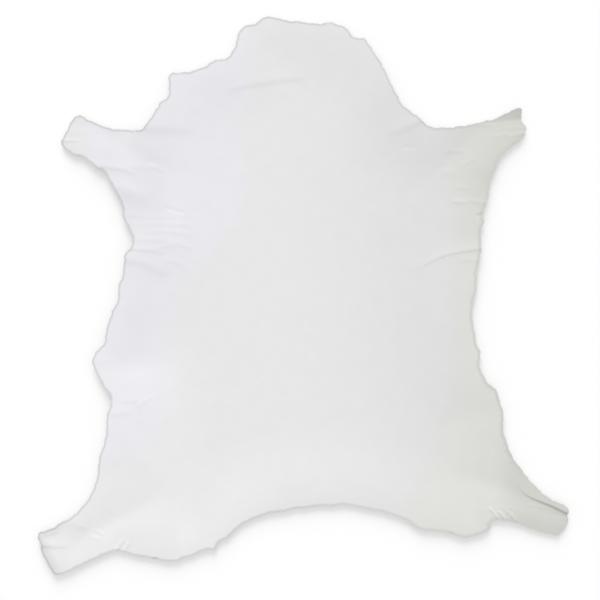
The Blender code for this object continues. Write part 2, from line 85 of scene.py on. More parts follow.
# One row for each stretch of the edge, clockwise from the left of the neck: name of the
# stretch, how high its middle lifts off the surface, and its points as (across, down).
EDGE_STRETCHES = (
    ("neck, left side", 0.0050, (
        (169.2, 78), (171.6, 74.4), (176, 73.6), (184, 73.4), (191, 72.4), (198, 70), (206.5, 66.7),
        (211.2, 63.3), (216, 60.4), (226, 59.6), (229.5, 56.5), (234.6, 48.8), (236.8, 41),
        (239.9, 31.2))),
    ("neck, end", 0.0032, (
        (244.5, 27.4), (249, 25.3), (254.5, 25), (259.5, 21.5), (264.5, 17.6), (269, 17.5),
        (280, 19.3), (288, 21.6), (297, 21.7), (304, 22.9), (312, 24.1), (323, 24.4), (328, 23),
        (332, 23.1), (336, 25), (342.4, 27.2), (346.5, 29))),
    ("neck, right side", 0.0080, (
        (352, 37.2), (357, 38.9), (364.3, 39.6), (368.5, 45), (373.5, 53), (380, 62.5),
        (385.6, 73.5), (393.6, 90.5), (397.3, 96.5), (400, 103), (406, 109), (417.3, 117.2))),
    ("right shoulder", 0.0048, (
        (422, 121.3), (427, 125.7), (433, 128.1), (440, 128.1), (451, 128.1), (457, 126.9),
        (466, 126))),
    ("right fore shank, top", 0.0022, (
        (475, 124), (484, 121.8), (495, 119.2), (505, 114), (511.3, 111.5), (515.3, 109.3),
        (518.5, 108.2))),
    ("right fore shank, end", 0.0026, (
        (520.7, 110.2), (520.5, 120), (522.7, 124.5), (525.7, 129.5), (523, 136), (517.5, 142.5))),
    ("right elbow", 0.0092, (
        (509.5, 147.5), (505, 151.5), (499.5, 157.5), (496.3, 163.5), (494.5, 169.5),
        (491.2, 175.5), (489, 181.5), (488, 193), (485, 205))),
    ("right flank, upper", 0.0104, (
        (481, 216), (483, 221), (480, 230), (479.7, 238), (480.4, 247), (478.5, 260),
        (476, 272), (475.3, 290), (472.2, 302), (471, 314))),
    ("right flank, lower", 0.0104, (
        (472, 323), (474.5, 336), (475.5, 344), (479.5, 352.5), (478.3, 365), (482.3, 375),
        (487, 382.7), (495.5, 390), (498.5, 400), (501.8, 410), (502.5, 418), (502.2, 430))),
    ("right hind shank, top", 0.0054, (
        (505.3, 440), (510, 453), (516.5, 464), (519.8, 467.3), (525.5, 476), (532, 483),
        (544.5, 495), (554, 500.6), (563.5, 504.7), (567.5, 508.5))),
    ("right hind shank, end", 0.0045, (
        (566.6, 514), (567, 522.5), (561.5, 530.5), (558.5, 534), (554.5, 534.7))),
    ("right hind shank, underneath", 0.0074, (
        (547, 533), (532, 528.6), (517, 522.7), (503, 519.5), (497, 518.8), (490.5, 521.2))),
    ("rump, right", 0.0077, (
        (489, 524.5), (488.6, 528.8), (482, 532.3), (472, 535.6), (462, 536.8), (453, 533.5),
        (443, 531), (426, 529.6), (418, 527.7), (408, 520.3), (400, 516.6))),
    ("rump, middle", 0.0072, (
        (391.5, 513.9), (383, 511), (369, 508.3), (353, 505), (343, 503.7), (333, 505),
        (317, 505.1), (307, 506.7), (294, 507.8), (285, 510.3), (271, 512), (258, 516.2))),
    ("tail notch", 0.0072, (
        (246.4, 521.2), (235.5, 528.6), (229.5, 535.2), (217.6, 542.5), (216, 546.3), (214.4, 549.7),
        (207.5, 548.2))),
    ("rump, left", 0.0076, (
        (200, 551.2), (192, 554.7), (184, 556.9), (176.5, 560.1), (165.5, 560.1), (156, 558),
        (140, 555.2), (132, 553.7), (123, 550.7), (116, 549.8))),
    ("left hind shank, underneath", 0.0070, (
        (108, 552.2), (95, 558), (80, 565), (66, 571.8), (57.5, 573.7))),
    ("left hind shank, end", 0.0096, (
        (53.7, 571.5), (48.7, 562), (43.7, 553), (41.5, 543), (39, 535.3))),
    ("left hind shank, top", 0.0072, (
        (40.3, 531.7), (47, 530), (56, 526), (63, 521.2), (72, 516.9), (83.7, 505.3),
        (89.7, 497.5))),
    ("left flank, lower", 0.0104, (
        (94.3, 488), (98, 477), (100.3, 457), (105, 443), (107.4, 430), (107.6, 417),
        (111.2, 404.8), (111.2, 394.5))),
    ("left flank, lobe", 0.0112, (
        (106.5, 389), (99.5, 376.5), (93.6, 362.5), (95.8, 353.7), (105, 343.3), (107.3, 330))),
    ("left flank, upper", 0.0106, (
        (110.5, 319.5), (113.8, 310), (118.8, 300.5), (119.4, 286.5), (123.3, 276.5),
        (126.5, 253.5))),
    ("left waist", 0.0112, (
        (131.8, 248.2), (133.8, 240), (131.2, 231.5), (124, 217.5), (123.3, 206.5))),
    ("left elbow", 0.0094, (
        (119.5, 198), (113, 186), (103.5, 170.7), (99.5, 170))),
    ("left fore shank, underneath", 0.0072, (
        (89.7, 161.7), (82, 156.8), (76, 155.9), (66, 149.6))),
    ("left fore shank, end", 0.0040, (
        (61.8, 143.5), (66, 134.5), (74, 119))),
    ("left fore shank, top", 0.0044, (
        (79.5, 115.7), (88, 120), (99, 124.8), (111, 129.2), (126, 130.3), (141, 130.4))),
    ("left shoulder", 0.0085, (
        (146, 126), (152.5, 117), (158.5, 107.5), (160.5, 103.4), (167.5, 99), (169.7, 92))),
)

# ---------------------------------------------------------------- the folds
# Soft creases that stand up from the sheet: name, width of the slope on the left and on the
# right of the crest, height at the first and at the last point, then the crest's line as
# (across, down) points.
CREASES = (
    ("right flank", 0.0022, 0.0090, 0.0007, 0.0005, (
        (486, 248.8), (478, 249.3), (460, 251.8), (450, 253.8), (440, 257.2), (430, 261.8),
        (412, 273))),
    ("left waist", 0.0160, 0.0085, 0.0009, 0.0006, (
        (122, 257), (140, 261.5), (154, 267), (174.5, 276.5))),
    ("left waist, small", 0.0080, 0.0036, 0.0005, 0.0004, (
        (130, 249), (146, 249.8), (167, 252))),
    ("left shoulder", 0.0300, 0.0110, 0.0014, 0.0007, (
        (142, 126), (158, 127), (176, 127.5), (198, 129.5))),
    ("left armpit", 0.0080, 0.0040, 0.0006, 0.0005, (
        (92, 166), (112, 167.8), (122, 169.3), (139.5, 175))),
    ("left elbow", 0.0130, 0.0160, 0.0013, 0.0008, (
        (110, 186), (126, 189.5), (151.5, 201.5))),
    ("right shoulder", 0.0060, 0.0110, 0.0008, 0.0004, (
        (423, 119.5), (412, 124), (400, 129.5), (385.5, 134.5))),
    ("right elbow", 0.0160, 0.0400, 0.0018, 0.0009, (
        (527, 129.5), (508, 143), (498, 153), (489, 166), (481.5, 183.5))),
    ("neck", 0.0200, 0.0055, 0.0006, 0.0007, (
        (218, 90.5), (236, 87.6), (252, 84.2), (272, 80.8), (290, 78.8), (315, 75))),
    ("right hind root, first", 0.0026, 0.0020, 0.0008, 0.0008, (
        (487.5, 506.5), (494, 513.5), (499, 520.5))),
    ("right hind root, second", 0.0026, 0.0020, 0.0008, 0.0008, (
        (495.5, 509), (501, 514.5), (506, 520.5))),
    ("right hind root, third", 0.0026, 0.0020, 0.0008, 0.0008, (
        (503, 507.5), (509.5, 513.5), (517, 522))),
    ("right hind shank", 0.0200, 0.0140, 0.0005, 0.0011, (
        (506, 509.5), (530, 515.5), (546, 520.5), (566, 526))),
    ("left hind root", 0.0030, 0.0030, 0.0008, 0.0006, (
        (115, 551), (118, 547), (126, 536.5))),
    ("left hind shank, inner", 0.0160, 0.0100, 0.0006, 0.0004, (
        (63, 519), (74, 522), (91.5, 526.5))),
    ("left hind shank, outer", 0.0120, 0.0040, 0.0013, 0.0001, (
        (39, 544), (50, 544.6), (62, 545), (76, 544.8))),
)
# Wrinkles too low for the solid, in the same way. A negative height is a trough.
WRINKLES = (
    ("armpit, second", 0.0060, 0.0035, 0.0004, 0.0003, ((147, 166), (158, 168.7), (169, 173.5))),
    ("armpit, faint", 0.0060, 0.0050, 0.0003, 0.0002, ((120.5, 165), (140, 167), (157.5, 168.5))),
    ("waist, mark", 0.0035, 0.0035, -0.0004, -0.0003, ((162.5, 207.5), (174, 210.5), (187.5, 214))),
    ("waist 1", 0.0050, 0.0045, 0.0002, 0.0001, ((123, 215), (150, 216.5), (180, 217))),
    ("waist 2", 0.0050, 0.0045, 0.0001, 0.0003, ((128, 224.5), (160, 224), (197, 225))),
    ("waist 3", 0.0050, 0.0045, 0.0001, 0.0003, ((140, 232.5), (170, 231.5), (198, 235.5))),
    ("waist 4", 0.0055, 0.0045, 0.0002, 0.0002, ((130, 239.5), (160, 240), (194, 244))),
    ("waist 5", 0.0045, 0.0040, 0.0002, 0.0003, ((152, 247.5), (176, 245), (198, 249))),
    ("waist 6", 0.0060, 0.0050, 0.0003, 0.0002, ((160.5, 260.5), (178, 262), (194.5, 275.5))),
    ("left flank 1", 0.0080, 0.0060, 0.0005, 0.0003, ((108, 411.5), (120, 412.5), (135.5, 408.5))),
    ("left flank 2", 0.0060, 0.0040, 0.0003, 0.0003, ((121.5, 400.5), (141.5, 400))),
    ("left flank 3", 0.0040, 0.0040, 0.0004, 0.0003, ((135, 407.5), (145, 401), (156.5, 396))),
    ("lobe", 0.0080, 0.0060, 0.0003, 0.0001, ((91, 360), (106, 360.5), (121, 360))),
    ("left fore shank, slit", 0.0040, 0.0018, 0.0007, 0.0002, (
        (59, 141.6), (70, 141.5), (84, 141.5))),
    ("left fore shank, band", 0.0080, 0.0080, 0.0004, 0.0002, ((64, 132.5), (76, 133), (100, 133))),
    ("left hind shank, dent 1", 0.0040, 0.0030, 0.0002, 0.0002, ((76.5, 525.5), (89.5, 527))),
    ("left hind shank, dent 2", 0.0030, 0.0025, 0.0003, 0.0004, ((93, 528.5), (105.5, 534))),
    ("left hind shank, dent 3", 0.0050, 0.0030, 0.0003, 0.0003, ((87, 535.5), (103, 539.5))),
    ("left hind shank, end", 0.0030, 0.0020, 0.0004, 0.0002, (
        (36.5, 537), (50, 533.2), (62.5, 529.5))),
    ("left hind root, second", 0.0026, 0.0026, 0.0006, 0.0005, (
        (122, 553), (124.5, 549), (131.5, 540))),
    ("right fore shank, upper", 0.0030, 0.0025, 0.0003, 0.0001, (
        (527, 129.5), (518, 128.3), (502, 128.5))),
    ("right fore shank, lower", 0.0040, 0.0040, 0.0006, 0.0002, (
        (525, 133.5), (518, 134.8), (504.5, 138.5))),
    ("right fore shank, top", 0.0018, 0.0030, 0.0003, 0.0002, ((495, 125.5), (474, 126))),
    ("right fore shank, middle", 0.0040, 0.0035, 0.0003, 0.0003, ((510, 134), (491, 138))),
    ("right side, mark 1", 0.0060, 0.0040, 0.0004, 0.0003, ((444, 150.5), (466, 152.5))),
    ("right side, mark 2", 0.0040, 0.0040, 0.0003, 0.0003, ((461.5, 167), (476, 156.5))),
    ("right side, mark 3", 0.0060, 0.0060, 0.0004, 0.0003, ((438, 172.5), (460, 173))),
    ("right side, mark 4", 0.0040, 0.0040, 0.0003, 0.0003, ((453, 186), (469, 189.5))),
    ("right side, mark 5", 0.0050, 0.0035, 0.0005, 0.0004, ((449.5, 201.5), (469.5, 203))),
    ("right side, mark 6", 0.0040, 0.0035, 0.0004, 0.0004, ((465.5, 200.5), (487.5, 204))),
    ("right side, mark 7", 0.0040, 0.0040, -0.0003, -0.0003, ((401, 147.5), (418, 147.5))),
    ("right flank, under", 0.0040, 0.0022, 0.0003, 0.0003, ((459, 260), (479, 260.5))),
    ("right flank, dent", 0.0040, 0.0030, -0.0010, -0.0004, ((484, 214.5), (473.5, 216.5))),
    ("thigh 1", 0.0030, 0.0030, 0.0005, 0.0004, ((491, 448), (492.5, 461), (494, 478))),
    ("hind shank 1", 0.0028, 0.0026, 0.0003, 0.0003, ((526.5, 504), (544, 507.8), (560, 513.5))),
    ("hind shank 2", 0.0020, 0.0020, 0.0002, 0.0003, ((547, 510.5), (560, 514.5), (568, 516.5))),
    ("hind shank 3", 0.0020, 0.0020, 0.0002, 0.0003, ((549, 516.5), (560, 518.6), (568, 520))),
    ("hind root, fourth", 0.0030, 0.0024, 0.0002, 0.0002, (
        (481.5, 509.5), (494, 507.6), (506.5, 504))),
    ("hind root, fifth", 0.0024, 0.0020, 0.0002, 0.0003, ((497.5, 508.5), (508, 507), (516.5, 511))),
)

# The top edge of the right fore shank curls up beyond this bend line.
CURL_LINE = ((462, 127.5), (480, 124.6), (492, 122.4), (503, 121.3), (513, 120.2), (524, 118.6))
CURL_GROWTH = 1.20           # shares of the bend line it takes to grow: it still grows at the tip
CURL_WIDTH = 0.021           # from the bend line to the edge at the shank's tip
CURL_HEIGHT = 0.0068         # height there if the curl were fully grown
CURL_POWER = 0.95            # 1 is a straight slope, more is a rounder one
CURL_END = 1.5               # curl widths from the bend line at which the slope levels off

# The upper strip of the right hind shank stands up in a tuck and leans over the lower part.
# Its crest runs from the thigh out to the tip.
TUCK_CREST = ((511, 474), (515, 481.5), (520, 489.5), (528, 495.8), (540, 500.9), (552, 505.4),
              (562, 510.2), (575, 516.2))
TUCK_TIP = 0.88              # share of the crest's line that lies inside the edge
TUCK_PATH = 0.0060           # length of leather in the tuck's wall at the tip
TUCK_THIN = 0.55             # share of that length where the tuck begins
TUCK_TURN = math.radians(95)   # how far the wall turns up from level: just past upright
TUCK_FULL = 0.90             # share of the crest's line over which the turn grows
TUCK_LEAST_TURN = 1e-3       # turn at the crest's start, so that the wall has a radius there
TUCK_STRAIGHT = 0.04         # share of the wall between its two turns
TUCK_FALL = 0.055            # how far behind the crest the strip comes down
TUCK_DRAW = 0.040            # how far below the crest the sheet is drawn up into the tuck
TUCK_END_DIRECTION = (0.0, 1.0)  # the sheet is drawn along the shank's end at the tip
TUCK_END_START = 0.42        # share of the crest's line where that direction begins to count

# ---------------------------------------------------------------- how the leather looks
# Places are in metres from the middle of the hide: across it to the right, along it to the neck.
# A soft change of a value: where it starts and stops, and the value before it and after it.
Ramp = namedtuple("Ramp", "start stop before after", defaults=(0.0, 1.0))
# Noise: blotches in a metre, how finely and how roughly it breaks up, how its axes are scaled.
Noise = namedtuple("Noise", "scale detail roughness stretch", defaults=(2.0, 0.5, None))
# Relief: how high it stands in metres, and how strongly it turns the light.
Relief = namedtuple("Relief", "height strength")

# Soft patches of painted light and shade on the grain side, most of them offsetting the shading
# of lifted edges, slopes and creases: name, left and right end across the hide, low and high end
# along it, how far it fades at each end, and how much brighter it is painted there.
LIGHT_AND_SHADE_PATCHES = (
    ("neck, right", 0.03, 0.25, 0.30, 0.60, 0.10, 0.018),
    ("left shoulder", -0.28, -0.19, 0.255, 0.335, 0.05, 0.024),
    ("left fore shank", -0.60, -0.35, 0.25, 0.35, 0.05, -0.030),
    ("left armpit", -0.40, -0.26, 0.14, 0.26, 0.06, -0.048),
    ("lower left flank", -0.60, -0.21, -0.60, -0.10, 0.12, 0.034),
    ("left thigh", -0.60, -0.32, -0.42, -0.33, 0.04, 0.010),
    ("left rump, low", -0.36, -0.24, -0.60, -0.44, 0.03, -0.045),
    ("left rump, high", -0.34, -0.18, -0.44, -0.35, 0.06, -0.018),
    ("rump", -0.07, 0.60, -0.60, -0.33, 0.12, -0.038),
    ("right rump", 0.22, 0.40, -0.60, -0.37, 0.06, -0.024),
    ("right hind root", 0.325, 0.40, -0.43, -0.38, 0.03, -0.045),
    ("lower right flank", 0.27, 0.60, -0.36, -0.12, 0.10, 0.030),
)
DRIFT = Noise(7.0, 3.0)      # the larger tones' borders wander with this noise
DRIFT_WIDTH = 0.10           # how far they wander
COOL_ACROSS = Ramp(-0.23, -0.17, 1.0, 0.0)  # painted cool, brighter light lies to the left of this border
# How much farther right that border lies: from the waist up, on the neck, and on the rump.
COOL_SHIFTS = (Ramp(-0.02, 0.16, 0.0, 0.13), Ramp(0.32, 0.38, 0.0, 0.02),
               Ramp(-0.28, -0.20, -0.04, 0.0))
COOL_PART = (Ramp(-0.44, -0.39), Ramp(-0.34, -0.28))  # left out: shanks' ends and rump
SHANK_END = Ramp(-0.475, -0.45, 1.0, 0.0)  # the left shanks' ends are darker,
SHANK_END_BAND = Ramp(0.0, 0.024, 1.0, 0.0)  # in a band along the edge
SHADE_RIGHT = Ramp(-0.03, 0.50)  # painted shade of the light falling off to the right, with some of the leather's own darker tone: the grain darkens slowly over this stretch
SHADE_SLANT = 0.10            # how far that stretch lies to the left for each metre up the hide
# The painted olive cast of the light lies to the right of this border, which bends to the left on
# the rump.
OLIVE_ACROSS = Ramp(0.31, 0.36)
OLIVE_SHIFTS = (Ramp(-0.27, -0.19, -0.04, 0.0), Ramp(-0.40, -0.36, -0.035, 0.0))
FORE_SHANK = (Ramp(0.24, 0.38), Ramp(0.03, 0.24))  # the shanks on the right: their own darker tone, with painted shade where they tilt away from the light
HIND_SHANK = (Ramp(0.355, 0.42), Ramp(-0.30, -0.26, 1.0, 0.0))
CLOUDS = Noise(34.0, 4.0, 0.55)  # small and faint clouds all over
CLOUD_TONE = Ramp(0.3, 0.7, 0.985, 1.0)

# The dark line along the edge. On the right it is wider and ragged inwards, and paler.
LINE_INWARD = Ramp(0.0018, 0.0052, 1.0, 0.0)
LINE_WIDENING = Ramp(0.05, 0.35, 1.0, 0.70)  # distances from the edge count for less there
LINE_RAGS = Noise(170.0, 3.0)  # blotches where the line runs farther in
LINE_RAG_TONE = Ramp(0.48, 0.66)
LINE_RAG_WIDTH = Ramp(0.30, 0.40, 0.0, 0.004)
LINE_STRENGTH = Ramp(-0.10, 0.20, 1.0, 0.6)
LINE_FAR_RIGHT = Ramp(0.36, 0.43)  # beyond here, and on the right fore shank, it fades
LINE_QUIET = Ramp(0.2, 1.0, 1.0, 0.2)  # down to a fifth

SWELLS = Noise(60.0, 3.0)    # the grain side's slow unevenness
SWELL_RELIEF = Relief(0.0003, 0.5)
PEBBLES = 900.0              # pebbles of the grain in a metre
PEBBLE_SOFTNESS = 0.35       # how far they melt into one another
PEBBLE_RELIEF = Relief(0.00015, 0.4)
PEBBLE_ROUGHNESS = Ramp(0.1, 0.8, 0.60, 0.72)
PORES = Noise(2300.0)
PORE_RELIEF = Relief(0.00006, 0.4)

STREAKS = Noise(40.0, 5.0, 0.6, (1.0, 0.35, 1.0))
STREAK_TONE = Ramp(0.25, 0.75, 0.93, 1.0)
NAP = Noise(1500.0, 3.0, 0.7)
NAP_TONE = Ramp(0.2, 0.8, 0.94, 1.0)
NAP_ROUGHNESS = Ramp(0.0, 1.0, 0.86, 0.96)
NAP_RELIEF = Relief(0.00035, 0.8)

FIBRES = Noise(900.0, 4.0, 0.7, (0.4, 0.4, 3.0))  # they lie in layers along the cut edge
FIBRE_TONE = Ramp(0.2, 0.8, 0.86, 1.0)
FIBRE_ROUGHNESS = Ramp(0.0, 1.0, 0.84, 0.95)
FIBRE_RELIEF = Relief(0.0003, 0.8)

GRAIN_SLOT, FLESH_SLOT, CUT_SLOT = range(3)  # the sheet's materials, in this order
# The Mix node's sockets for colours: share, first and second colour, and the mixed colour.
MIX_SHARE, MIX_FIRST, MIX_SECOND, MIXED = 0, 6, 7, 2


# ---------------------------------------------------------------- lines
# The drawing's lines in metres: the closed edge, with the share of its length at which each
# stretch has its middle and the lift there, the creases, the curl's bend and the tuck's crest.
Drawing = namedtuple("Drawing", "edge middles lifts creases bend crest")
# A crease: its crest's line, the widths of its slopes, its heights at the ends of the line,
# and whether each end lies inside the sheet.
Crease = namedtuple("Crease", "line left right start end ends_inside")


def place(points, unit):
    """Grid points as (x, y) in metres, with the middle of the hide at the origin."""
    grid = np.array(points, dtype=float)
    across = (grid[:, 0] - GRID_MIDDLE[0]) * unit
    up = (GRID_MIDDLE[1] - grid[:, 1]) * unit
    return np.stack([across, up], axis=1)


def smooth_curve(points, step, closed=False):
    """A smooth curve through the points, sampled about every `step` metres."""
    if closed:
        padded = np.vstack([points[-1:], points, points[:2]])
    else:
        padded = np.vstack([2 * points[0] - points[1], points, 2 * points[-1] - points[-2]])
    samples = []
    for before, start, end, after in zip(padded, padded[1:], padded[2:], padded[3:]):
        knots = [0.0]
        for near, far in ((before, start), (start, end), (end, after)):
            knots.append(knots[-1] + math.sqrt(np.linalg.norm(far - near)))
        t0, t1, t2, t3 = knots
        pieces = max(1, round(np.linalg.norm(end - start) / step))
        for t in np.linspace(t1, t2, pieces, endpoint=False):
            a1 = before + (start - before) * (t - t0) / (t1 - t0)
            a2 = start + (end - start) * (t - t1) / (t2 - t1)
            a3 = end + (after - end) * (t - t2) / (t3 - t2)
            b1 = a1 + (a2 - a1) * (t - t0) / (t2 - t0)
            b2 = a2 + (a3 - a2) * (t - t1) / (t3 - t1)
            samples.append(b1 + (b2 - b1) * (t - t1) / (t2 - t1))
    samples.append(samples[0] if closed else points[-1])
    return np.array(samples)


def passed_lengths(line):
    """The length of the line up to each of its points."""
    return np.concatenate([[0.0], np.cumsum(np.linalg.norm(np.diff(line, axis=0), axis=1))])


def across_line(points, line):
    """For each point: share of the line's length passed, and signed distance to its left."""
    steps = np.diff(line, axis=0)
    passed = passed_lengths(line)
    share = np.zeros(len(points))
    offset = np.full(len(points), np.inf)
    for number, step in enumerate(steps):
        reach = points - line[number]
        along = np.clip(reach @ step / (step @ step), 0.0, 1.0)
        gap = reach - along[:, None] * step
        distance = np.linalg.norm(gap, axis=1)
        side = np.where(step[0] * gap[:, 1] - step[1] * gap[:, 0] < 0, -1.0, 1.0)
        nearer = distance < np.abs(offset)
        walked = passed[number] + along * (passed[number + 1] - passed[number])
        share[nearer] = walked[nearer] / passed[-1]
        offset[nearer] = (side * distance)[nearer]
    return share, offset


def about_line(points, line, reach):
    """The numbers of the points inside the line's box, widened by `reach`."""
    inside = (points > line.min(axis=0) - reach) & (points < line.max(axis=0) + reach)
    return np.flatnonzero(inside.all(axis=1))


def beside_line(line):
    """The direction to the left of the line at each of its points."""
    steps = np.gradient(line, axis=0)
    left = np.stack([-steps[:, 1], steps[:, 0]], axis=1)
    return left / np.linalg.norm(left, axis=1)[:, None]


def rough_edge(edge):
    """The edge with the small unevenness of its cut."""
    share = passed_lengths(edge) / passed_lengths(edge)[-1]
    moved = np.zeros(len(edge))
    for waves, start, width in EDGE_WAVES:
        moved += width * np.sin(2.0 * math.pi * waves * share + start)
    rough = edge + beside_line(edge) * moved[:, None]
    rough[-1] = rough[0]
    return rough


def draw(unit):
    """Every line of the drawing, worked out once."""
    points = place([point for _name, _lift, stretch in EDGE_STRETCHES for point in stretch], unit)
    passed = passed_lengths(np.vstack([points, points[:1]]))
    middles = []
    first = 0
    for _name, _lift, stretch in EDGE_STRETCHES:
        middles.append(passed[first + len(stretch) // 2] / passed[-1])
        first += len(stretch)
    edge = rough_edge(smooth_curve(points, EDGE_STEP, closed=True))
    creases = []
    for _name, left, right, start, end, crest in CREASES + WRINKLES:
        line = smooth_curve(place(crest, unit), EDGE_STEP)
        ends_inside = across_line(line[[0, -1]], edge)[1] < 0.0
        creases.append(Crease(line, left, right, start, end, ends_inside))
    return Drawing(
        edge=edge,
        middles=middles,
        lifts=[lift for _name, lift, _stretch in EDGE_STRETCHES],
        creases=creases,
        bend=smooth_curve(place(CURL_LINE, unit), EDGE_STEP),
        crest=smooth_curve(place(TUCK_CREST, unit), EDGE_STEP))


def ease(share):
    """A smooth step from 0 to 1."""
    share = np.clip(share, 0.0, 1.0)
    return share * share * (3.0 - 2.0 * share)


# ---------------------------------------------------------------- how the sheet lies
def edge_lift(share, drawing):
    """How high the edge lifts off the surface, with its small ripples."""
    lift = np.interp(share, drawing.middles, drawing.lifts, period=1.0)
    for waves, start, height in RIPPLES:
        lift = lift + height * np.sin(2.0 * math.pi * waves * share + start)
    return lift


def edge_rise(points, drawing):
    """Height the sheet has from its lifted edge, with no step between two edges that are near."""
    passed = passed_lengths(drawing.edge)
    lifts = edge_lift(passed / passed[-1], drawing)
    total = np.zeros(len(points))
    for place_on_edge, length, lift in zip(drawing.edge, np.diff(passed), lifts):
        gap = points - place_on_edge
        square = np.sum(gap * gap, axis=1) / EDGE_REACH ** 2
        total += length * lift ** EDGE_POWER * np.exp(-EDGE_POWER * square)
    straight_edge = EDGE_REACH * math.sqrt(math.pi / EDGE_POWER)
    return (total / straight_edge) ** (1.0 / EDGE_POWER)


def crease_height(share, crease):
    """Height along a crease's crest, which dies away where the crease ends inside the sheet."""
    height = crease.start + (crease.end - crease.start) * share
    for inside_sheet, passed in zip(crease.ends_inside, (share, 1.0 - share)):
        if inside_sheet:
            height = height * ease(passed / CREASE_FADE)
    return height


def rise_height(points, drawing):
    """Height of the sheet's underside from its lifted edge, its creases and its curl."""
    height = edge_rise(points, drawing)
    for crease in drawing.creases:
        about = about_line(points, crease.line, CREASE_REACH * max(crease.left, crease.right))
        share, offset = across_line(points[about], crease.line)
        slope = offset / np.where(offset > 0, crease.left, crease.right)
        height[about] += crease_height(share, crease) * np.exp(-slope ** 2)
    share, beyond = across_line(points, drawing.bend)
    slope = np.clip(beyond / CURL_WIDTH, 0.0, CURL_END)
    height += CURL_HEIGHT * slope ** CURL_POWER * ease(share / CURL_GROWTH)
    return np.maximum(height - SETTLE, 0.0)


def tuck_wall(share):
    """The tuck's wall along its crest: its turn, path, turns' radius, start and end offset."""
    turn = np.maximum(TUCK_TURN * ease(share / TUCK_FULL), TUCK_LEAST_TURN)
    grown = np.clip(share / TUCK_TIP, 0.0, 1.0)
    path = TUCK_PATH * (TUCK_THIN + (1.0 - TUCK_THIN) * grown)
    radius = path * (1.0 - TUCK_STRAIGHT) / (2.0 * turn)
    end = radius * np.sin(np.minimum(turn, math.pi / 2))
    return turn, path, radius, end - path, end


def wall_section(walked, turn, path, radius):
    """Sideways travel and height after walking up the wall: a turn, a straight, a turn back."""
    bend = turn * radius
    first = np.clip(walked, 0.0, bend) / radius
    straight = np.clip(walked - bend, 0.0, TUCK_STRAIGHT * path)
    second = turn - np.clip(walked - path + bend, 0.0, bend) / radius
    travel = radius * np.sin(first) + straight * np.cos(turn)
    travel = travel + radius * (np.sin(turn) - np.sin(second))
    height = radius * (1.0 - np.cos(first)) + straight * np.sin(turn)
    height = height + radius * (np.cos(second) - np.cos(turn))
    return travel, height


def fold_tuck(points, crest):
    """Fold the flat plan along the tuck: the new plan, and the height that the tuck adds."""
    share, offset = across_line(points, crest)
    turn, path, radius, wall_start, wall_end = tuck_wall(share)
    full_travel, full_height = wall_section(path, turn, path, radius)

    travel, height = wall_section(offset - wall_start, turn, path, radius)
    moved = travel - full_travel + wall_end
    drawn = 1.0 - ease((wall_start - offset) / TUCK_DRAW)
    moved = np.where(offset < wall_start, offset + (path - full_travel) * drawn, moved)
    fallen = np.exp(-(np.maximum(offset - wall_end, 0.0) / TUCK_FALL) ** 2)
    moved = np.where(offset > wall_end, offset, moved)
    height = np.where(offset > wall_end, full_height * fallen, height)

    folded = share > 0.0
    sideways = np.where(folded, moved - offset, 0.0)
    marks = passed_lengths(crest) / passed_lengths(crest)[-1]
    left = beside_line(crest)
    side = np.stack([np.interp(share, marks, left[:, axis]) for axis in (0, 1)], axis=1)
    along_end = ease((share - TUCK_END_START) / (TUCK_TIP - TUCK_END_START))[:, None]
    side = side + (np.array(TUCK_END_DIRECTION) - side) * along_end
    return points + side * sideways[:, None], np.where(folded, height, 0.0)


# ---------------------------------------------------------------- the mesh
def in_tuck(points, crest, margin):
    """True for each point on the tuck's wall or within `margin` of it."""
    share, offset = across_line(points, crest)
    _turn, _path, _radius, start, end = tuck_wall(share)
    return (offset > start - margin) & (offset < end + margin) & (share > 0.0)


def near_creases(points, drawing, widest, reach):
    """True for each point within `reach` widths of a slope that is no wider than `widest`."""
    near = np.zeros(len(points), dtype=bool)
    for crease in drawing.creases:
        narrow = min(crease.left, crease.right)
        if narrow <= widest:
            about = about_line(points, crease.line, reach * narrow)
            offset = across_line(points[about], crease.line)[1]
            near[about] |= np.abs(offset) < reach * narrow
    return near


def cut_squares(sheet, step):
    """Cut the whole sheet into squares by planes `step` apart."""
    places = np.array([corner.co.xy for corner in sheet.verts])
    parts = sheet.verts[:] + sheet.edges[:] + sheet.faces[:]
    for axis, across in enumerate(AXES):
        first = math.ceil(places[:, axis].min() / step)
        last = math.floor(places[:, axis].max() / step)
        for number in range(first, last + 1):
            middle = [number * step * part for part in across]
            cut = bmesh.ops.bisect_plane(
                sheet, geom=parts, dist=SNAP, plane_co=middle, plane_no=across)
            parts = cut["geom"]


def halve_squares(sheet, step, wanted):
    """Cut each square whose middle is wanted in two, first one way and then the other."""
    for axis, across in enumerate(AXES):
        middles = np.array([face.calc_center_median().xy for face in sheet.faces])
        rows = {}
        for face, middle, want in zip(sheet.faces, middles, wanted(middles)):
            if want:
                rows.setdefault(math.floor(middle[axis] / step), []).append(face)
        for number, faces in rows.items():
            edges = {edge for face in faces for edge in face.edges}
            corners = {corner for face in faces for corner in face.verts}
            middle = [(number + 0.5) * step * part for part in across]
            bmesh.ops.bisect_plane(
                sheet, geom=faces + list(edges) + list(corners), dist=SNAP,
                plane_co=middle, plane_no=across)


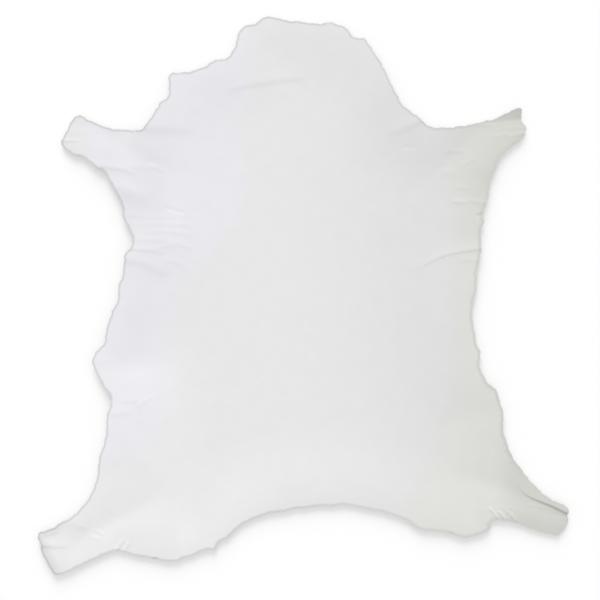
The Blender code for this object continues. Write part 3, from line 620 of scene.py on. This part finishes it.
def cut_hide(drawing):
    """The flat hide: its edge as one face, cut into squares that are finer beside folds."""
    sheet = bmesh.new()
    corners = [sheet.verts.new((x, y, 0.0)) for x, y in drawing.edge[:-1]]
    sheet.faces.new(reversed(corners))
    cut_squares(sheet, SHEET_STEP)

    def by_fold(points):
        near_edge = np.abs(across_line(points, drawing.edge)[1]) < EDGE_BAND
        near_fold = near_creases(points, drawing, WIDEST_FOLD, FOLD_BAND)
        return near_edge | near_fold | in_tuck(points, drawing.crest, TUCK_BANDS[0])

    def by_fine_fold(points):
        near_fold = near_creases(points, drawing, FINE_FOLD, FOLD_BAND)
        return near_fold | in_tuck(points, drawing.crest, TUCK_BANDS[1])

    def by_tuck(points):
        return in_tuck(points, drawing.crest, TUCK_BANDS[2])

    for halvings, wanted in enumerate((by_fold, by_fine_fold, by_tuck)):
        halve_squares(sheet, SHEET_STEP / 2 ** halvings, wanted)

    rim = [corner for corner in sheet.verts if corner.is_boundary]
    bmesh.ops.remove_doubles(sheet, verts=rim, dist=WELD)
    rim = [corner for corner in sheet.verts if corner.is_boundary]
    near = bmesh.ops.find_doubles(sheet, verts=sheet.verts[:], keep_verts=rim, dist=WELD)
    bmesh.ops.weld_verts(sheet, targetmap=near["targetmap"])
    return sheet


def lay_sheet(sheet, drawing):
    """Move the flat sheet's points to where they lie, and note how far in each one is."""
    from_edge = sheet.verts.layers.float.new("from_edge")
    flat = np.array([corner.co.xy for corner in sheet.verts])
    height = rise_height(flat, drawing)
    inward = np.abs(across_line(flat, drawing.edge)[1])
    plan, tucked = fold_tuck(flat, drawing.crest)
    for corner, (x, y), z, distance in zip(sheet.verts, plan, height + tucked, inward):
        corner.co = (x, y, z)
        corner[from_edge] = distance


def make_leather(sizes, colours):
    """The hide as a thin sheet with its grain side, flesh side and cut edge."""
    drawing = draw(sizes.length / DRAWN_LENGTH)
    sheet = cut_hide(drawing)
    lay_sheet(sheet, drawing)
    bmesh.ops.recalc_face_normals(sheet, faces=sheet.faces)
    for face in sheet.faces:
        face.smooth = True
    for rim in sheet.edges:
        rim.smooth = not rim.is_boundary
    mesh = bpy.data.meshes.new("hide_leather")
    sheet.to_mesh(mesh)
    area = sum(face.calc_area() for face in sheet.faces)
    sheet.free()
    hide = bpy.data.objects.new("hide_leather", mesh)
    bpy.context.scene.collection.objects.link(hide)
    for material in (grain_side(colours), flesh_side(colours), cut_edge(colours)):
        mesh.materials.append(material)
    wall = hide.modifiers.new("thickness", "SOLIDIFY")
    wall.thickness = sizes.thickness
    wall.offset = 1.0  # all of the thickness stands on the laid surface
    wall.material_offset = FLESH_SLOT - GRAIN_SLOT
    wall.material_offset_rim = CUT_SLOT - GRAIN_SLOT
    return hide, area


# ---------------------------------------------------------------- materials
class Finish:
    """A material's node tree, with short ways to add its textures and mixes."""

    def __init__(self, name):
        self.material = bpy.data.materials.new(name)
        self.material.use_nodes = True
        self.tree = self.material.node_tree
        self.shader = self.tree.nodes["Principled BSDF"]
        self.place = self.tree.nodes.new("ShaderNodeTexCoord").outputs["Object"]

    def join(self, source, target):
        """Link an output, or set a plain value."""
        if isinstance(source, bpy.types.NodeSocket):
            self.tree.links.new(source, target)
        else:
            target.default_value = source

    def noise(self, kind):
        """Noise from 0 to 1."""
        node = self.tree.nodes.new("ShaderNodeTexNoise")
        self.join(self.stretched(kind.stretch), node.inputs["Vector"])
        node.inputs["Scale"].default_value = kind.scale
        node.inputs["Detail"].default_value = kind.detail
        node.inputs["Roughness"].default_value = kind.roughness
        return node.outputs["Fac"]

    def pebbles(self, scale, softness):
        """Distance from the middle of each pebble of the grain, `scale` pebbles in a metre."""
        node = self.tree.nodes.new("ShaderNodeTexVoronoi")
        node.feature = "SMOOTH_F1"
        self.join(self.place, node.inputs["Vector"])
        node.inputs["Scale"].default_value = scale
        node.inputs["Smoothness"].default_value = softness
        return node.outputs["Distance"]

    def stretched(self, stretch):
        """The place on the sheet, with its axes scaled."""
        if stretch is None:
            return self.place
        node = self.tree.nodes.new("ShaderNodeMapping")
        self.join(self.place, node.inputs["Vector"])
        node.inputs["Scale"].default_value = stretch
        return node.outputs["Vector"]

    def axis(self, letter):
        """One coordinate of the place on the sheet, in metres."""
        node = self.tree.nodes.new("ShaderNodeSeparateXYZ")
        self.join(self.place, node.inputs["Vector"])
        return node.outputs[letter]

    def from_edge(self):
        """Distance in from the hide's edge, in metres."""
        node = self.tree.nodes.new("ShaderNodeAttribute")
        node.attribute_name = "from_edge"
        return node.outputs["Fac"]

    def maths(self, operation, first, second=0.0, third=0.0):
        """A sum, product or other operation on two or three values."""
        node = self.tree.nodes.new("ShaderNodeMath")
        node.operation = operation
        for number, value in enumerate((first, second, third)):
            self.join(value, node.inputs[number])
        return node.outputs["Value"]

    def product(self, first, *others):
        """The product of two or more values."""
        for other in others:
            first = self.maths("MULTIPLY", first, other)
        return first

    def ramp(self, value, change):
        """The value that a soft change has reached."""
        node = self.tree.nodes.new("ShaderNodeMapRange")
        node.interpolation_type = "SMOOTHSTEP"
        self.join(value, node.inputs["Value"])
        for name, number in zip(("From Min", "From Max", "To Min", "To Max"), change):
            node.inputs[name].default_value = number
        return node.outputs["Result"]

    def between(self, value, low, high, fade):
        """1 between low and high, and 0 outside, with soft ends."""
        half = fade / 2
        return self.product(self.ramp(value, Ramp(low - half, low + half)),
                            self.ramp(value, Ramp(high - half, high + half, 1.0, 0.0)))

    def part(self, across, up, changes):
        """A part of the hide, from 0 to 1: one change across the hide times one along it."""
        return self.product(self.ramp(across, changes[0]), self.ramp(up, changes[1]))

    def shifted(self, across, up, shifts):
        """The place across the hide, as seen from a border that the shifts move to the right."""
        for shift in shifts:
            across = self.maths("SUBTRACT", across, self.ramp(up, shift))
        return across

    def mix(self, first, second, share, blend="MIX"):
        """The first colour with a share of the second in its place."""
        node = self.tree.nodes.new("ShaderNodeMix")
        node.data_type = "RGBA"
        node.blend_type = blend
        self.join(share, node.inputs[MIX_SHARE])
        self.join(first, node.inputs[MIX_FIRST])
        self.join(second, node.inputs[MIX_SECOND])
        return node.outputs[MIXED]

    def tint(self, colour, factor, share=1.0):
        """The colour multiplied by another one or by a level, where the share is 1."""
        return self.mix(colour, factor, share, "MULTIPLY")

    def bump(self, value, relief, under=None):
        """A normal raised by the value, on top of the normal that lies under it."""
        node = self.tree.nodes.new("ShaderNodeBump")
        node.inputs["Strength"].default_value = relief.strength
        node.inputs["Distance"].default_value = relief.height
        self.join(value, node.inputs["Height"])
        if under is not None:
            self.join(under, node.inputs["Normal"])
        return node.outputs["Normal"]

    def finish(self, colour, roughness, normal, specular, sheen):
        """Join the colour, roughness and normal to the shader, and set its constants."""
        self.join(colour, self.shader.inputs["Base Color"])
        self.join(roughness, self.shader.inputs["Roughness"])
        self.join(normal, self.shader.inputs["Normal"])
        self.shader.inputs["Specular IOR Level"].default_value = specular
        self.shader.inputs["Sheen Weight"].default_value = sheen
        return self.material


def cool_light(leather, drift, across, up):
    """Where the painted cool light on the left lies, from 0 to 1."""
    left = leather.ramp(leather.shifted(drift, up, COOL_SHIFTS), COOL_ACROSS)
    return leather.product(left, leather.part(across, up, COOL_PART))


def patches(leather, across, up):
    """The brightness that the soft patches of painted light and shade leave."""
    level = 1.0
    for _name, left, right, low, high, fade, brighter in LIGHT_AND_SHADE_PATCHES:
        patch = leather.product(leather.between(across, left, right, fade),
                                leather.between(up, low, high, fade))
        level = leather.maths("MULTIPLY_ADD", patch, brighter, level)
    return level


def edge_line(leather, across, fore):
    """How strong the dark line along the edge is, from 0 to 1."""
    inward = leather.product(leather.from_edge(), leather.ramp(across, LINE_WIDENING))
    ragged = leather.product(leather.ramp(leather.noise(LINE_RAGS), LINE_RAG_TONE),
                             leather.ramp(across, LINE_RAG_WIDTH))
    inward = leather.maths("SUBTRACT", inward, ragged)
    quiet = leather.maths("MAXIMUM", fore, leather.ramp(across, LINE_FAR_RIGHT))
    return leather.product(leather.ramp(inward, LINE_INWARD), leather.ramp(across, LINE_STRENGTH),
                           leather.ramp(quiet, LINE_QUIET))


def grain_tone(leather, colours):
    """The grain side's colour: painted cool light on the left, a painted olive cast and painted
    shade on the right, shanks darker partly in painted shade, soft patches of painted light and
    shade, clouds, edge line.
    """
    across = leather.axis("X")
    up = leather.axis("Y")
    drift = leather.maths("MULTIPLY_ADD", leather.noise(DRIFT), DRIFT_WIDTH, across)
    # painted light: the left of the grain as in a cooler, brighter light
    tone = leather.mix(colours.grain, colours.grain_in_cool_light, cool_light(leather, drift, across, up))
    # painted light and shade in soft patches
    tone = leather.tint(tone, patches(leather, across, up))
    shank_end = leather.product(leather.ramp(leather.from_edge(), SHANK_END_BAND),
                                leather.ramp(across, SHANK_END))
    tone = leather.tint(tone, colours.shank_end, shank_end)
    # painted shade of the light falling off to the right, with some of the leather's own darker tone
    slanted = leather.maths("MULTIPLY_ADD", up, SHADE_SLANT, drift)
    tone = leather.mix(tone, colours.grain_right_shade, leather.ramp(slanted, SHADE_RIGHT))
    # painted light: the olive cast of the light on the right
    olive = leather.ramp(leather.shifted(drift, up, OLIVE_SHIFTS), OLIVE_ACROSS)
    tone = leather.tint(tone, colours.olive, olive)
    # the right shanks' own darker tone, with painted shade where they tilt away from the light
    fore = leather.part(across, up, FORE_SHANK)
    shanks = leather.maths("MAXIMUM", fore, leather.part(across, up, HIND_SHANK))
    tone = leather.mix(tone, colours.grain_shanks_and_shade, shanks)
    tone = leather.tint(tone, leather.ramp(leather.noise(CLOUDS), CLOUD_TONE))
    return leather.tint(tone, colours.edge_line, edge_line(leather, across, fore))


def grain_side(colours):
    """Undyed grain: fine pebbles and pores on a slightly uneven surface, in cloudy tones."""
    leather = Finish("leather_grain")
    pebbles = leather.pebbles(PEBBLES, PEBBLE_SOFTNESS)
    relief = leather.bump(leather.noise(SWELLS), SWELL_RELIEF)
    relief = leather.bump(pebbles, PEBBLE_RELIEF, relief)
    relief = leather.bump(leather.noise(PORES), PORE_RELIEF, relief)
    return leather.finish(grain_tone(leather, colours), leather.ramp(pebbles, PEBBLE_ROUGHNESS),
                          relief, specular=0.25, sheen=0.0)


def flesh_side(colours):
    """Flesh side: a short suede nap with faint cloudy streaks, painted darker than its own pale tone
    to deepen the shade under the lifted edges.
    """
    suede = Finish("leather_flesh")
    nap = suede.noise(NAP)
    tone = suede.tint(colours.flesh, suede.ramp(suede.noise(STREAKS), STREAK_TONE))
    tone = suede.tint(tone, suede.ramp(nap, NAP_TONE))
    return suede.finish(tone, suede.ramp(nap, NAP_ROUGHNESS), suede.bump(nap, NAP_RELIEF),
                        specular=0.2, sheen=0.25)


def cut_edge(colours):
    """The cut edge: close fibres that run along it in layers."""
    fibre = Finish("leather_cut_edge")
    layers = fibre.noise(FIBRES)
    tone = fibre.tint(colours.cut, fibre.ramp(layers, FIBRE_TONE))
    return fibre.finish(tone, fibre.ramp(layers, FIBRE_ROUGHNESS), fibre.bump(layers, FIBRE_RELIEF),
                        specular=0.2, sheen=0.1)


# ---------------------------------------------------------------- settings
class HideSizes(bpy.types.PropertyGroup):
    """Sizes of the hide."""

    length: FloatProperty(
        name="Length", description="From the neck's end to the tip of the left hind shank",
        default=1.06, min=0.3, max=3.0, unit="LENGTH")
    thickness: FloatProperty(
        name="Thickness", description="Thickness of the leather",
        default=0.0014, min=0.0006, max=0.004, unit="LENGTH", precision=4)


def colour_setting(name, description, default, brightest=1.0):
    """A setting for a colour, with its red, green and blue."""
    return FloatVectorProperty(name=name, description=description, default=(*default, 1.0),
                               size=4, min=0.0, max=brightest, subtype="COLOR")


class HideColours(bpy.types.PropertyGroup):
    """Colours of the leather, and of the light and shade painted on it."""

    grain: colour_setting("Grain", "Grain side in the middle of the hide", (0.847, 0.847, 0.847))
    # painted light: the grain on the left as in a cooler, brighter light
    grain_in_cool_light: colour_setting(
        "Grain, left", "Cooler tone of the grain side on the left", (0.864, 0.855, 0.899))
    # painted shade of the light falling off to the right, with some of the leather's own darker tone
    grain_right_shade: colour_setting(
        "Grain, right", "Darker tone of the grain side on the right", (0.750, 0.752, 0.750))
    shank_end: colour_setting(
        "Shanks' ends", "Darkens the grain side along the left shanks' ends", (0.86, 0.86, 0.86))
    # painted light: the olive cast of the light along the right
    olive: colour_setting(
        "Olive cast", "Tints the grain side along the right", (0.998, 1.005, 0.962), 2.0)
    # the right shanks' own darker tone, with painted shade where they tilt away from the light
    grain_shanks_and_shade: colour_setting(
        "Grain, shanks", "Darker tone of the shanks on the right", (0.674, 0.683, 0.642))
    edge_line: colour_setting(
        "Edge line", "Darkens the grain side along the cut edge", (0.81, 0.81, 0.81))
    # painted shade: darker than the flesh side's own pale tone, so that less light bounces under the
    # lifted edges
    flesh: colour_setting("Flesh side", "Suede nap of the flesh side", (0.40, 0.385, 0.365))
    cut: colour_setting("Cut edge", "Fibres of the cut edge", (0.52, 0.51, 0.49))


class StageSettings(bpy.types.PropertyGroup):
    """Floor, lights and camera."""

    floor_size: FloatProperty(
        name="Floor", description="Width of the square floor",
        default=9.0, min=2.0, unit="LENGTH")
    floor_colour: colour_setting("Floor colour", "Plain pale floor", (0.73, 0.73, 0.73))
    floor_glow: FloatProperty(
        name="Floor glow", description="Light that the floor gives off, which softens shadows",
        default=0.305, min=0.0)
    key_strength: FloatProperty(
        name="Key light", description="Strength of the low light beyond the neck",
        default=2.25, min=0.0)
    fill_power: FloatProperty(
        name="Fill light", description="Power of the broad light on the left, in watts",
        default=8.0, min=0.0, unit="POWER")
    sky_strength: FloatProperty(
        name="Sky", description="Strength of the even light from all round",
        default=0.60, min=0.0)


# ---------------------------------------------------------------- stage
WHITE = (1.0, 1.0, 1.0, 1.0)
FLOOR_GAP = 0.0002           # keeps the floor just clear of the hide's underside
FLOOR_GRAIN = Noise(300.0)
FLOOR_RELIEF = Relief(0.0001, 1.0)
FLOOR_ROUGHNESS = 0.9
KEY_PLACE = (-1.0, 11.0, 5.0)  # the key light shines from here to the hide
KEY_WIDTH = math.radians(38)   # how wide it looks from the hide, which softens shadows
FILL_PLACE = (-0.5, 0.0, 3.4)  # the fill light hangs here
FILL_WIDTH = 2.4             # width of its square panel
CAMERA_AIM = (300.0, 300.0)  # (across, down) of the middle of the view
VIEW_WIDTH = 600.0           # width of the view on the drawing's grid
LENS = 70.0                  # focal length in millimetres
SENSOR = 36.0                # width of the film in millimetres


def make_floor(settings):
    """A plain pale floor just under the hide."""
    half = settings.floor_size / 2
    floor = bmesh.new()
    bmesh.ops.create_grid(floor, x_segments=1, y_segments=1, size=half)
    bmesh.ops.translate(floor, verts=floor.verts, vec=(0.0, 0.0, -FLOOR_GAP))
    mesh = bpy.data.meshes.new("stage_floor")
    floor.to_mesh(mesh)
    floor.free()
    paint = Finish("stage_floor")
    relief = paint.bump(paint.noise(FLOOR_GRAIN), FLOOR_RELIEF)
    paint.finish(settings.floor_colour, FLOOR_ROUGHNESS, relief, specular=0.2, sheen=0.0)
    paint.shader.inputs["Emission Color"].default_value = WHITE
    paint.shader.inputs["Emission Strength"].default_value = settings.floor_glow
    mesh.materials.append(paint.material)
    stage = bpy.data.objects.new("stage_floor", mesh)
    bpy.context.scene.collection.objects.link(stage)


def add_light(name, kind, location, energy):
    """A light that faces the hide."""
    lamp = bpy.data.lights.new(name, kind)
    lamp.energy = energy
    light = bpy.data.objects.new(name, lamp)
    light.location = location
    light.rotation_euler = (-light.location).to_track_quat("-Z", "Y").to_euler()
    bpy.context.scene.collection.objects.link(light)
    return lamp


def add_sky(strength):
    """Even light from all round."""
    sky = bpy.data.worlds.new("soft_sky")
    sky.use_nodes = True
    background = sky.node_tree.nodes["Background"]
    background.inputs["Color"].default_value = WHITE
    background.inputs["Strength"].default_value = strength
    bpy.context.scene.world = sky


def add_camera(unit):
    """A camera straight above the hide."""
    lens = bpy.data.cameras.new("camera")
    lens.lens = LENS
    lens.sensor_width = SENSOR
    camera = bpy.data.objects.new("camera", lens)
    x, y = place([CAMERA_AIM], unit)[0]
    camera.location = (x, y, VIEW_WIDTH * unit * LENS / SENSOR)
    bpy.context.scene.collection.objects.link(camera)
    bpy.context.scene.camera = camera


# ---------------------------------------------------------------- operators and panel
class HIDE_OT_leather(bpy.types.Operator):
    """Lay out the leather hide with its folds"""

    bl_idname = "hide.leather"
    bl_label = "Leather hide"

    def execute(self, context):
        sizes = context.scene.hide_sizes
        hide, area = make_leather(sizes, context.scene.hide_colours)
        if len(hide.data.vertices) == 0:
            raise RuntimeError("the hide has no mesh")
        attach(hide, "root")
        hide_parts("leather_hide")
        return {"FINISHED"}


class HIDE_OT_stage(bpy.types.Operator):
    """Set up the floor, the lights and the camera"""

    bl_idname = "hide.stage"
    bl_label = "Stage"

    def execute(self, context):
        settings = context.scene.hide_stage
        make_floor(settings)
        add_light("key_light", "SUN", KEY_PLACE, settings.key_strength).angle = KEY_WIDTH
        add_light("fill_light", "AREA", FILL_PLACE, settings.fill_power).size = FILL_WIDTH
        add_sky(settings.sky_strength)
        add_camera(context.scene.hide_sizes.length / DRAWN_LENGTH)
        context.scene.view_settings.view_transform = "Standard"
        return {"FINISHED"}


class HIDE_PT_panel(bpy.types.Panel):
    """Settings and buttons of the leather hide"""

    bl_label = "Leather hide"
    bl_space_type = "VIEW_3D"
    bl_region_type = "UI"
    bl_category = "Hide"

    def draw(self, context):
        for group in (context.scene.hide_sizes, context.scene.hide_colours):
            for name in group.__annotations__:
                self.layout.prop(group, name)
        self.layout.operator(HIDE_OT_leather.bl_idname)
        for name in StageSettings.__annotations__:
            self.layout.prop(context.scene.hide_stage, name)
        self.layout.operator(HIDE_OT_stage.bl_idname)


CLASSES = (HideSizes, HideColours, StageSettings, HIDE_OT_leather, HIDE_OT_stage, HIDE_PT_panel)


def register():
    """Register the classes and attach the settings to the scene."""
    for each in CLASSES:
        bpy.utils.register_class(each)
    bpy.types.Scene.hide_sizes = PointerProperty(type=HideSizes)
    bpy.types.Scene.hide_colours = PointerProperty(type=HideColours)
    bpy.types.Scene.hide_stage = PointerProperty(type=StageSettings)


def unregister():
    """Take the settings and the classes away again."""
    del bpy.types.Scene.hide_stage
    del bpy.types.Scene.hide_colours
    del bpy.types.Scene.hide_sizes
    for each in reversed(CLASSES):
        bpy.utils.unregister_class(each)


def main():
    """Build the hide and its stage."""
    register()
    bpy.ops.hide.leather()
    bpy.ops.hide.stage()


if __name__ == "__main__":
    main()
